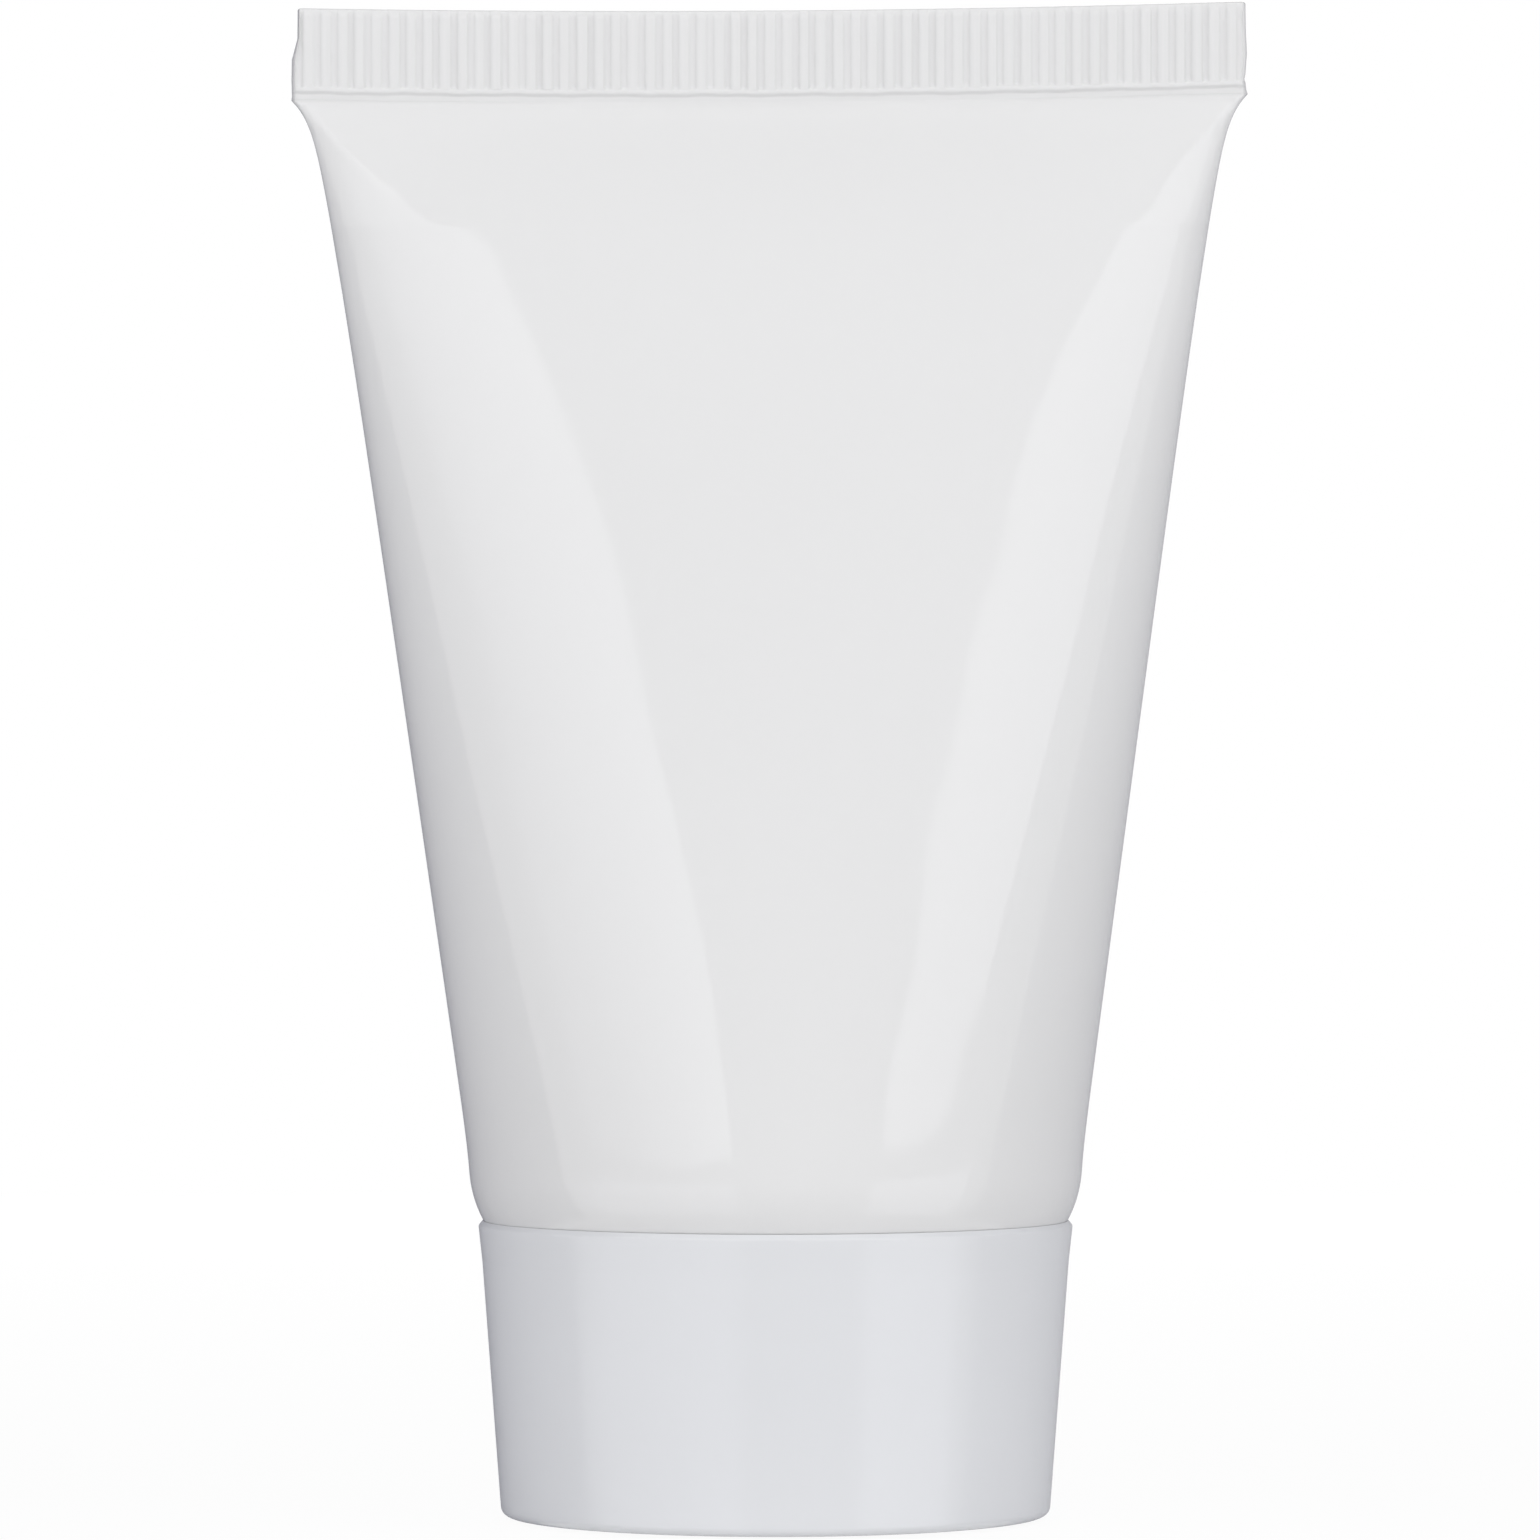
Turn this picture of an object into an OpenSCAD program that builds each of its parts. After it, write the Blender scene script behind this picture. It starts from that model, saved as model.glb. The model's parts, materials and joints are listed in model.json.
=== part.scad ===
// Plastic lotion tube that stands upside on its screw cap, with a crimped flat seal at the top.
// Millimetres. Z = 0 is the surface that it stands on and +Z runs up the axis of the cap.
// X runs along the flat seal, and the front faces -Y.

/* [Sleeve] */
// Outer diameter of the sleeve where it is still round, just above its shoulder
sleeve_d = 35; // [32:0.5:45]
// Wall of the sleeve
sleeve_wall = 0.5; // [0.3:0.05:0.8]
// Height of the tube on its cap, up to the two ends of the seal
total_h = 86.76; // [70:0.2:120]
// Radius of the rounded shoulder, seen from the side
shoulder_radius = 6; // [4:0.5:9]
// Height over which the shoulder rounds in
shoulder_drop = 3.05; // [2:0.05:4]

/* [Seal] */
// Height of the ribbed band of the seal
seal_h = 4.9; // [3:0.1:8]
// Thickness of the two welded walls between the ribs
seal_t = 0.9; // [0.7:0.05:1.6]
// Height of a rib over the flat of the seal
rib_h = 0.16; // [0.05:0.01:0.3]
// Height of the flat margin between the ribs and the body
seal_margin = 0.4; // [0.2:0.05:1]
// Number of rib pitches across the seal
rib_count = 56; // [40:4:60]
// Height of the rounded end of a rib
rib_end = 0.3; // [0.1:0.05:0.6]
// How far each corner spreads in the last millimetre under the seal
corner_flare = 0.85; // [0.3:0.05:1.2]
// Height over which the corner spreads
corner_reach = 1.03; // [0.6:0.01:1.5]
// How far each edge spreads over the pinched stretch under the seal
pinch_flare = 0.6; // [0:0.05:1]
// Height of the pinched stretch
pinch_reach = 6.9; // [4:0.1:10]
// How far the seal lies off the axis of the cap along X
seal_lean = -0.35; // [-1:0.05:1]
// How far the end of the seal at +X stands over its middle line
seal_tilt = 0.19; // [-0.5:0.01:0.5]
// How far the middle of the seal sags under its ends
seal_sag = 0.33; // [0:0.01:0.8]

/* [Head] */
// Thickness of the shoulder of the moulded head
head_t = 1.2; // [0.8:0.1:2]
// Slope of the shoulder towards the neck, in degrees
head_slope = 20; // [10:1:24]
// Diameter of the neck at the root of its thread
neck_d = 13.6; // [12:0.2:16]
// Wall of the neck
neck_wall = 1.3; // [1:0.1:2]
// Wall across the tip of the neck
tip_wall = 1.1; // [0.8:0.1:2]
// Bevel round the tip of the neck
tip_bevel = 0.5; // [0.2:0.1:0.8]
// Diameter of the hole that the lotion comes out of
orifice_d = 3.2; // [2:0.1:4]

/* [Thread] */
// Rise of the thread in one turn
thread_pitch = 3; // [2.6:0.1:4]
// Height of the ridge on the neck
thread_h = 0.8; // [0.5:0.05:1]
// Width of a ridge at its root
ridge_root = 1.3; // [1:0.05:1.4]
// Width of a ridge at its crest
ridge_crest = 0.6; // [0.4:0.05:0.8]
// Depth to which a ridge is rooted in the wall that carries it
ridge_sink = 0.3; // [0.2:0.05:0.5]
// Turns of the ridge on the neck, and of the one in the cap
thread_turns = 1.75; // [1:0.25:2.25]
// Share of a turn over which a ridge rises at its two ends
thread_fade = 0.125; // [0.075:0.025:0.25]
// Height of the lowest point of the neck's ridge over the tip of the neck
thread_start = 2; // [1.4:0.1:3]
// Clearance between a crest and the root that it runs in
thread_gap = 0.25; // [0.15:0.05:0.5]

/* [Cap] */
// Height of the cap
cap_h = 16.45; // [14:0.05:24]
// How far the rim of the cap stands back from the side of the sleeve
cap_inset = 0.425; // [0.2:0.025:0.8]
// How far the rim of the cap stands out over the wall under its lip
cap_lip = 0.225; // [0:0.025:0.6]
// How far the wall of the cap draws in from its lip to its foot
cap_taper = 1.1; // [0:0.1:2]
// Height of the lip, where the cap spreads to its rim
cap_lip_h = 1.85; // [1:0.05:3]
// Wall of the cap
cap_wall = 1.2; // [0.8:0.1:2]
// Thickness of the end of the cap
cap_floor = 1.4; // [1:0.1:2.5]
// Radius of the edge round the foot
foot_radius = 0.55; // [0.3:0.05:1]
// Radius of the edge round the rim
rim_radius = 0.35; // [0.15:0.05:0.5]
// Wall of the threaded boss inside the cap
boss_wall = 1.2; // [0.8:0.1:2]

/* [Liner] */
// Thickness of the sealing disc in the cap
liner_t = 1; // [0.6:0.1:1.6]
// Clearance between the sealing disc and the boss round it
liner_gap = 0.4; // [0.3:0.05:0.8]

/* [Contents] */
// Height of the lotion over the surface that the tube stands on
fill_z = 66; // [40:1:76]

/* [Fits] */
// Gap between the rim of the cap and the shoulder over it
rim_gap = 0.3; // [0.3:0.05:0.6]
// Gap on each side of the sealing disc
seat_gap = 0.05; // [0.03:0.01:0.1]
// Gap between the head and the sleeve that is moulded to it
weld_gap = 0.05; // [0.03:0.01:0.1]
// Gap between the lotion and the walls that hold it
film_gap = 0.15; // [0.1:0.01:0.25]
// Distance between the top of the boss and the slope of the head
boss_gap = 1; // [0.5:0.1:2]

/* [Hidden] */
$fn = 96;

// Places that follow from the sizes above
sleeve_r = sleeve_d / 2;
shoulder_z = cap_h + rim_gap;
body_z = shoulder_z + shoulder_drop;
seal_z = total_h - seal_h;
seal_half_w = PI * sleeve_d / 4;
neck_r = neck_d / 2;
bore_r = neck_r - neck_wall;
orifice_r = orifice_d / 2;
tip_z = cap_floor + liner_t + 2 * seat_gap;
crest_r = neck_r + thread_h;
boss_r = crest_r + thread_gap;
rim_r = sleeve_r - cap_inset;
lip_r = rim_r - cap_lip;
foot_r = lip_r - cap_taper;
cone_r = rim_r - cap_wall - rim_gap;
flat_z = seal_z - seal_margin;
body_slope = (seal_half_w - sleeve_r - corner_flare - pinch_flare) / (flat_z - body_z);

// Points across one rib, and round a section of the ribbed band, of the wall and of the inner surfaces
rib_points = 4;
band_points = 2 * rib_points * rib_count;
wall_points = 2 * rib_count;
inner_points = rib_count;
// Steps along a quarter of a section, in the halving of a span, round an edge and in a turn of the thread
length_steps = 20;
solve_steps = 24;
edge_steps = 6;
turn_steps = 40;

// Places where the rings of the long surfaces lie: four on the shoulder, then closer towards the seal
shoulder_rings = 4;
body_rings = 13;
shoulder_angle = asin(shoulder_drop / shoulder_radius);
shoulder_zs = [for (i = [0 : shoulder_rings - 1])
    body_z - shoulder_radius * sin(shoulder_angle * (1 - i / shoulder_rings))];
body_zs = [for (i = [0 : body_rings]) flat_z - (flat_z - body_z) * pow(1 - i / body_rings, 2)];
// The inner surface ends where the front and back walls are about to meet
cavity_top = flat_z - corner_reach;

// Half width of the outer section: a slow even spread, then the pinch and the corners under the seal
function half_width(z) =
    z < body_z ? round_radius(z) :
    sleeve_r + body_slope * (z - body_z) + pinch_flare * exp((z - flat_z) / pinch_reach)
    + corner_flare * exp((z - flat_z) / corner_reach);

// Radius on the rounded shoulder
function round_radius(z) =
    sleeve_r - shoulder_radius + sqrt(pow(shoulder_radius, 2) - pow(body_z - z, 2));

// Quarter of a section: flat in front and round at its edge, and a circle where a equals b
function quarter_point(a, b, angle) =
    let (k = (1 - b / a) / 2) [a * sin(angle) * (1 + k * pow(cos(angle), 2)), -b * cos(angle)];

// Length along a quarter of a section, as pairs of length and angle
function quarter_lengths(a, b) =
    [for (i = 0, s = 0; i <= length_steps;
          i = i + 1,
          s = s + norm(quarter_point(a, b, 90 * i / length_steps)
                       - quarter_point(a, b, 90 * (i - 1) / length_steps)))
        [s, 90 * i / length_steps]];

// Half thickness that keeps the length round the section, found by halving the span
function solve_half_thickness(a, low, high, steps) =
    let (middle = (low + high) / 2)
    steps == 0 ? middle :
    quarter_lengths(a, middle)[length_steps][0] > seal_half_w
        ? solve_half_thickness(a, low, middle, steps - 1)
        : solve_half_thickness(a, middle, high, steps - 1);

function half_thickness(z) =
    z < body_z ? round_radius(z) :
    solve_half_thickness(half_width(z), 0.001, sleeve_r, solve_steps)
    + seal_t / 2 * exp((z - flat_z) / corner_reach);

// Ring of points spaced evenly along a section, from the middle of the front towards +X
function section_ring(a, b, z, count) =
    let (table = quarter_lengths(a, b), whole = table[length_steps][0], quarter = count / 4)
    [for (i = [0 : count - 1])
        let (
            side = floor(i / quarter),
            step = i % quarter,
            along = side % 2 == 0 ? step : quarter - step,
            p = quarter_point(a, b, lookup(whole * along / quarter, table)),
            x = side < 2 ? p[0] : -p[0],
            y = side == 1 || side == 2 ? -p[1] : p[1]
        )
        settle([x, y, z])];

// Ring of the ribbed band: flat faces that carry ribs, with half a rib at each end, and round edges
function band_ring(z, half_t, ribs) =
    [for (i = [0 : band_points - 1])
        let (
            quarter = band_points / 4,
            side = floor(i / quarter),
            step = i % quarter,
            along = side % 2 == 0 ? step : quarter - step,
            x = seal_half_w * along / quarter,
            edge = max(0, x - seal_half_w + half_t) / half_t,
            rib = ribs * (1 + cos(360 * rib_count * (x / seal_half_w) / 2)) / 2,
            y = (half_t + rib) * sqrt(1 - edge * edge)
        )
        settle([side < 2 ? x : -x, side == 1 || side == 2 ? y : -y, z])];

// The whole tube leans a little towards its seal, and the seal tilts and sags
function settle(p) =
    let (
        up = max(0, min(1, (p[2] - body_z) / (seal_z - body_z))),
        across = p[0] / seal_half_w
    )
    [p[0] + seal_lean * up, p[1],
     p[2] + up * up * (seal_tilt * across - seal_sag * (1 - across * across))];

// Faces between two rings of equal count, the second one next in the chain
function band_faces(first, second, count) =
    [for (i = [0 : count - 1]) let (j = (i + 1) % count)
        each [[first + i, second + i, second + j], [first + i, second + j, first + j]]];

// Faces from a ring to one that has a whole number of times as many points
function fan_faces(first, second, count, times) =
    [for (i = [0 : count - 1]) let (j = (i + 1) % count)
        each concat(
            [for (k = [0 : times - 1])
                [first + i, second + i * times + k, second + (i * times + k + 1) % (count * times)]],
            [[first + i, second + j * times, first + j]])];

// Flat strip that closes a ring from front to back. It faces down where the ring comes first.
function strip_faces(first, count, up) =
    [for (i = [0 : count / 2 - 1])
        let (
            front = first + (3 * count / 4 + i) % count,
            front_next = first + (3 * count / 4 + i + 1) % count,
            back = first + (3 * count / 4 - i) % count,
            back_next = first + (3 * count / 4 - i - 1) % count
        )
        each concat(
            i < count / 2 - 1 ? [flip([front, front_next, back_next], up)] : [],
            i > 0 ? [flip([front, back_next, back], up)] : [])];

function flip(face, up) = up ? [face[0], face[2], face[1]] : face;

// Points on an arc, from one angle to another
function arc(x, z, radius, from, to) =
    [for (i = [0 : edge_steps]) let (angle = from + (to - from) * i / edge_steps)
        [x + radius * cos(angle), z + radius * sin(angle)]];

// Thin welded sleeve: one wall that runs from the shoulder to the crimped seal
module sleeve() {
    inner_zs = concat([for (z = body_zs) if (z < cavity_top) z], [cavity_top]);
    inner = concat(
        [for (i = [len(inner_zs) - 1 : -1 : 0])
            section_ring(half_width(inner_zs[i]) - sleeve_wall,
                         half_thickness(inner_zs[i]) - sleeve_wall, inner_zs[i], inner_points)],
        [for (i = [shoulder_rings - 1 : -1 : 0]) let (r = round_radius(shoulder_zs[i]) - sleeve_wall)
            section_ring(r, r, shoulder_zs[i], inner_points)]);
    outer = concat(
        [for (z = shoulder_zs) section_ring(round_radius(z), round_radius(z), z, wall_points)],
        [for (z = body_zs) section_ring(half_width(z), half_thickness(z), z, wall_points)]);
    band = [
        band_ring(seal_z, seal_t / 2, 0),
        band_ring(seal_z + rib_end, seal_t / 2, rib_h),
        band_ring(total_h - rib_end, seal_t / 2, rib_h),
        band_ring(total_h, seal_t / 2, 0)
    ];
    outer_first = len(inner) * inner_points;
    band_first = outer_first + len(outer) * wall_points;
    points = [for (ring = concat(inner, outer, band)) each ring];
    faces = concat(
        strip_faces(0, inner_points, false),
        [for (i = [0 : len(inner) - 2])
            each band_faces(i * inner_points, (i + 1) * inner_points, inner_points)],
        fan_faces(outer_first - inner_points, outer_first, inner_points, wall_points / inner_points),
        [for (i = [0 : len(outer) - 2])
            each band_faces(outer_first + i * wall_points, outer_first + (i + 1) * wall_points, wall_points)],
        fan_faces(band_first - wall_points, band_first, wall_points, band_points / wall_points),
        [for (i = [0 : len(band) - 2])
            each band_faces(band_first + i * band_points, band_first + (i + 1) * band_points, band_points)],
        strip_faces(band_first + (len(band) - 1) * band_points, band_points, true));
    color("whitesmoke") polyhedron(points, faces, convexity = 6);
}

// Height of the underside of the head's slope at a radius
function slope_z(r) = shoulder_z - (cone_r - min(r, cone_r)) * tan(head_slope);

// Helical ridge of a thread that sinks a little into the wall that carries it.
// height is positive on the neck, and negative in the cap, where the ridge points inwards.
module thread_ridge(root_r, height, z) {
    steps = turn_steps * thread_turns;
    run_out = turn_steps * thread_fade;
    sink = sign(height) * ridge_sink;
    rings = [for (i = [0 : steps])
        let (
            angle = 360 * i / turn_steps,
            full = min(1, i / run_out, (steps - i) / run_out),
            crest = root_r - sink / 2 + (height + sink / 2) * full,
            middle = z + thread_pitch * i / turn_steps,
            section = [[root_r - sink, -ridge_root / 2], [crest, -ridge_crest / 2],
                       [crest, ridge_crest / 2], [root_r - sink, ridge_root / 2]]
        )
        [for (p = section) [p[0] * cos(angle), p[0] * sin(angle), middle + p[1]]]];
    sides = [for (i = [0 : steps - 1], k = [0 : 3])
        let (a = 4 * i + k, b = 4 * i + (k + 1) % 4)
        each [[a, b, a + 4], [b, b + 4, a + 4]]];
    ends = [[0, 2, 1], [0, 3, 2], [4 * steps, 4 * steps + 1, 4 * steps + 2],
            [4 * steps, 4 * steps + 2, 4 * steps + 3]];
    polyhedron([for (ring = rings) each ring],
               [for (face = concat(sides, ends)) flip(face, height < 0)], convexity = 8);
}

// Moulded head: shoulder, threaded neck and the tip with its hole
module tube_head() {
    top_z = shoulder_z + head_t;
    edge = [for (i = [0 : edge_steps]) let (z = shoulder_z + head_t * i / edge_steps)
        [round_radius(z) - sleeve_wall - weld_gap, z]];
    profile = concat(
        [[orifice_r, tip_z], [neck_r - tip_bevel, tip_z], [neck_r, tip_z + tip_bevel],
         [neck_r, slope_z(neck_r)], [cone_r, shoulder_z]],
        edge,
        [[cone_r, top_z], [bore_r, slope_z(bore_r) + head_t],
         [bore_r, tip_z + tip_wall], [orifice_r, tip_z + tip_wall]]);
    color("whitesmoke") {
        rotate_extrude() polygon(profile);
        thread_ridge(neck_r, thread_h, tip_z + thread_start);
    }
}

// Lotion that fills the head and the sleeve up to the air under the seal
module lotion() {
    column_r = bore_r - film_gap;
    stem_r = orifice_r - film_gap;
    top_z = shoulder_z + head_t + film_gap;
    round_rings = [
        [stem_r, tip_z + film_gap],
        [stem_r, tip_z + tip_wall + film_gap],
        [column_r, tip_z + tip_wall + film_gap],
        [column_r, slope_z(bore_r) + head_t + film_gap],
        [cone_r, top_z]
    ];
    side_zs = concat([top_z], [for (z = shoulder_zs) if (z > top_z) z],
                     [for (z = body_zs) if (z < fill_z) z], [fill_z]);
    rings = concat(
        [for (p = round_rings) section_ring(p[0], p[0], p[1], inner_points)],
        [for (z = side_zs)
            section_ring(half_width(z) - sleeve_wall - film_gap,
                         half_thickness(z) - sleeve_wall - film_gap, z, inner_points)]);
    color("ivory")
        polyhedron([for (ring = rings) each ring],
                   concat(strip_faces(0, inner_points, false),
                          [for (i = [0 : len(rings) - 2])
                              each band_faces(i * inner_points, (i + 1) * inner_points, inner_points)],
                          strip_faces((len(rings) - 1) * inner_points, inner_points, true)),
                   convexity = 4);
}

// Plain screw cap: tapered wall, flat end and the threaded boss that grips the neck
module cap() {
    boss_top = slope_z(boss_r + boss_wall) - boss_gap;
    profile = concat(
        [[0, 0]],
        arc(foot_r - foot_radius, foot_radius, foot_radius, -90, 0),
        [[lip_r, cap_h - cap_lip_h]],
        arc(rim_r - rim_radius, cap_h - rim_radius, rim_radius, 0, 90),
        [[rim_r - cap_wall, cap_h], [lip_r - cap_wall, cap_h - cap_lip_h],
         [foot_r - cap_wall, cap_floor], [boss_r + boss_wall, cap_floor],
         [boss_r + boss_wall, boss_top], [boss_r, boss_top], [boss_r, cap_floor], [0, cap_floor]]);
    color("white") {
        rotate_extrude() polygon(profile);
        thread_ridge(boss_r, -thread_h, tip_z + thread_start + thread_pitch / 2);
    }
}

// Soft disc that seals the hole in the neck and lies loose in the boss
module cap_liner() {
    color("gainsboro") translate([0, 0, cap_floor + seat_gap])
        cylinder(h = liner_t, r = boss_r - thread_h - liner_gap);
}

sleeve();
tube_head();
lotion();
cap();
cap_liner();
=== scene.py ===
"""Looks of a plain white lotion tube that stands upside on its screw cap.

Shapes are worked out in millimetres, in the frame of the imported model: +Z runs up the axis of the cap, X runs
along the flat seal and the front faces -Y. A mesh is scaled to metres when it is made.
"""

import json
import math

import bpy
import numpy as np
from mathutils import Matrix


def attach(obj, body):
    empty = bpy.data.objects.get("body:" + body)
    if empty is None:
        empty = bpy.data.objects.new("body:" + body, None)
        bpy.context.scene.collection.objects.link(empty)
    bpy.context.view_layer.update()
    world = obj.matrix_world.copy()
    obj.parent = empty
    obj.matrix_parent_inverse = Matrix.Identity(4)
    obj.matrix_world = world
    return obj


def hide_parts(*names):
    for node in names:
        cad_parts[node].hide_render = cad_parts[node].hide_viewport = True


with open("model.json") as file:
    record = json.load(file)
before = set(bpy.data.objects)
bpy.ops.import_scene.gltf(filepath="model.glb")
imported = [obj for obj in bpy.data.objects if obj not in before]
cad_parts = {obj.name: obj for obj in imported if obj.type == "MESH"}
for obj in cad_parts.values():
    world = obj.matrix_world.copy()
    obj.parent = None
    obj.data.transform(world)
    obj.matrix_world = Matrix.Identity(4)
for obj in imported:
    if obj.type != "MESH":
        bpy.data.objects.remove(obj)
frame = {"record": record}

MM = 0.001

# Sleeve and seal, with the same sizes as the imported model
SLEEVE_R = 17.5
SLEEVE_WALL = 0.5
TOTAL_H = 86.76
SHOULDER_RADIUS = 6.0
SHOULDER_DROP = 3.05
SEAL_H = 4.9
SEAL_T = 0.9
SEAL_MARGIN = 0.4
RIB_COUNT = 56
CORNER_FLARE = 0.85
CORNER_REACH = 1.03
PINCH_FLARE = 0.6
PINCH_REACH = 6.9
EASE_REACH = 3.5
SEAL_LEAN = -0.35
SEAL_TILT = 0.19
SEAL_SAG = 0.33

# Head and its thread
HEAD_T = 1.2
HEAD_SLOPE = math.radians(20)
NECK_R = 6.8
NECK_WALL = 1.3
TIP_WALL = 1.1
TIP_BEVEL = 0.5
ORIFICE_R = 1.6
THREAD_PITCH = 3.0
THREAD_H = 0.8
RIDGE_ROOT = 1.3
RIDGE_CREST = 0.6
THREAD_TURNS = 1.75
THREAD_FADE = 0.125
THREAD_START = 2.0
THREAD_GAP = 0.25

# Cap and the disc in it
CAP_H = 16.45
CAP_INSET = 0.425
CAP_LIP = 0.225
CAP_TAPER = 1.1
CAP_LIP_H = 1.85
CAP_WALL = 1.2
CAP_FLOOR = 1.4
FOOT_RADIUS = 0.55
BOSS_WALL = 1.2
LINER_T = 1.0
LINER_GAP = 0.4

# Contents and clearances
FILL_Z = 66.0
RIM_GAP = 0.3
SEAT_GAP = 0.05
WELD_GAP = 0.05
FILM_GAP = 0.15
BOSS_GAP = 1.0

# Places that follow from the sizes above
SHOULDER_Z = CAP_H + RIM_GAP
BODY_Z = SHOULDER_Z + SHOULDER_DROP
SEAL_Z = TOTAL_H - SEAL_H
FLAT_Z = SEAL_Z - SEAL_MARGIN
HALF_T = SEAL_T / 2
SEAL_HALF_W = math.pi * SLEEVE_R / 2
RIB_PITCH = 2 * SEAL_HALF_W / RIB_COUNT
BODY_SLOPE = (SEAL_HALF_W - SLEEVE_R - CORNER_FLARE - PINCH_FLARE) / (FLAT_Z - BODY_Z)
CAVITY_TOP = FLAT_Z - CORNER_REACH
BORE_R = NECK_R - NECK_WALL
TIP_Z = CAP_FLOOR + LINER_T + 2 * SEAT_GAP
BOSS_R = NECK_R + THREAD_H + THREAD_GAP
LINER_R = BOSS_R - THREAD_H - LINER_GAP
RIM_R = SLEEVE_R - CAP_INSET
LIP_R = RIM_R - CAP_LIP
FOOT_R = LIP_R - CAP_TAPER
CONE_R = RIM_R - CAP_WALL - RIM_GAP
RIDGE_Z = TIP_Z + THREAD_START

# Thin collar on the cap's rim, which hides the gap under the shoulder
COLLAR_R = RIM_R - 0.275
COLLAR_W = 0.03
COLLAR_H = 0.5
COLLAR_FOOT = 0.2

# Finish of the crimp: flat-floored grooves between the ribs, a bead under them and a step down to the film
FLOOR_HALF = 0.14
WALL_W = 0.06
RIB_H = 0.18
GROOVE_SINK = 0.02
RIB_SPREAD = 0.16
STEP_LOW = SEAL_Z - 0.07
STEP_HIGH = SEAL_Z + 0.16
BEAD_Z = SEAL_Z + 0.27
BEAD_H = 0.18
BEAD_REACH = 0.15
RIB_FOOT = SEAL_Z + 0.36
FLASH_IN = 0.57
FLASH_GROOVE = 0.09
FLASH_WIDTH = 0.07
WELD_REACH = 2.4
CUT_RADIUS = 0.12
CUT_FADE = 0.6
CUT_FADE_REACH = 0.45
SEED = 35

# Ends of the weld: how far each stands back, a step back at the left, and (height, size, reach) of bulges
LEFT_BACK = 0.03
LEFT_STEP = 0.33
LEFT_STEP_LOW = 83.7
LEFT_STEP_HIGH = 85.2
LEFT_BULGES = [(83.0, 0.03, 0.8)]
RIGHT_BACK = 0.12
RIGHT_BULGES = [(84.2, 0.12, 0.65), (82.35, -0.06, 0.16), (81.6, 0.05, 0.4)]

# Soft forms of the film: a crease under each corner of the seal, from its top to its foot, and slow waves
CREASE_TOP = np.array([26.75, 81.0])
CREASE_FOOT = np.array([20.8, 74.9])
CREASE_H = 0.34
CREASE_WIDTH = 0.5
CREASE_SPREAD = 0.12
CREASE_ROUND = 0.12
WAVE_H = 0.012
WAVE_FADE = 8

# Mesh density, the hole in a profile's middle that a fan closes, and how near to a wall its ridge is added
LENGTH_STEPS = 240
SOLVE_STEPS = 40
ARC_STEPS = 6
ROUND_COLUMNS = 256
LOTION_QUARTER = 48
SHOULDER_ROWS = 9
BODY_ROWS = 23
FINE_ROWS = 28
FINE_REACH = 7.5
MARGIN_ROWS = 22
RIBBED_ROWS = 4
TOP_ROWS = 4
HUB_R = 0.1
WALL_TOLERANCE = 0.01

# Grey cards behind the tube, in metres
CARD_R = 0.5
CARD_LOW = -0.3
CARD_HIGH = 0.6


def smooth_step(start, end, value):
    """0 before start, 1 after end, and 3t^2 - 2t^3 between them."""
    t = np.clip((value - start) / (end - start), 0, 1)
    return t * t * (3 - 2 * t)


def hump(value, reach):
    """Bell curve exp(-(value / reach)^2)."""
    return np.exp(-(value / reach) ** 2)


def base_radius(z):
    """Radius of the round tube that a section is pressed from: it rounds in on an arc under BODY_Z."""
    below = np.maximum(0, BODY_Z - z)
    return SLEEVE_R - SHOULDER_RADIUS + np.sqrt(SHOULDER_RADIUS ** 2 - below ** 2)


def half_width(z):
    """Half width of a section: the base radius, an even spread that starts softly at BODY_Z, and two
    exponential flares, one over the pinched stretch and one at the corners under the seal."""
    softness = 1.1
    spread = softness * np.log1p(np.exp((z - BODY_Z) / softness))
    return (base_radius(z) + BODY_SLOPE * spread
            + PINCH_FLARE * np.exp((z - FLAT_Z) / PINCH_REACH)
            + CORNER_FLARE * np.exp((z - FLAT_Z) / CORNER_REACH))


def quarter_point(a, b, angle):
    """Point on a quarter section: x = a sin (1 + k cos^2) and y = b cos, where k = (1 - b / a) / 2 flattens
    the face of a thin section and leaves a circle where a equals b."""
    k = (1 - b / a) / 2
    return a * np.sin(angle) * (1 + k * np.cos(angle) ** 2), b * np.cos(angle)


def quarter_lengths(a, b):
    """Running length along each quarter section, summed over short chords, one row for each section."""
    angle = np.linspace(0, math.pi / 2, LENGTH_STEPS + 1)
    x, y = quarter_point(a[:, None], b[:, None], angle[None, :])
    chords = np.hypot(np.diff(x, axis=1), np.diff(y, axis=1))
    return angle, np.concatenate([np.zeros((len(a), 1)), np.cumsum(chords, axis=1)], axis=1)


def half_thickness(z):
    """Half thickness that keeps the film as long as the base circle's quarter, found by halving the span for
    all sections at once, and blended with the flat stretch's own by exp(-d / EASE_REACH) at a depth d under
    that stretch."""
    a = half_width(z)
    wanted = base_radius(z) * math.pi / 2
    low = np.full_like(z, 0.001)
    high = np.full_like(z, SLEEVE_R)
    for _ in range(SOLVE_STEPS):
        middle = (low + high) / 2
        too_long = quarter_lengths(a, middle)[1][:, -1] > wanted
        high = np.where(too_long, middle, high)
        low = np.where(too_long, low, middle)
    flatness = np.exp((z - FLAT_Z) / EASE_REACH)
    return (low + high) / 2 * (1 - flatness) + HALF_T * flatness


def section_quarters(a, b, shares):
    """Points at shares of each quarter section's length, counted from the middle of its face to its edge."""
    angle, lengths = quarter_lengths(a, b)
    angles = np.array([np.interp(shares * row[-1], row, angle) for row in lengths])
    return quarter_point(a[:, None], b[:, None], angles)


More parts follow.
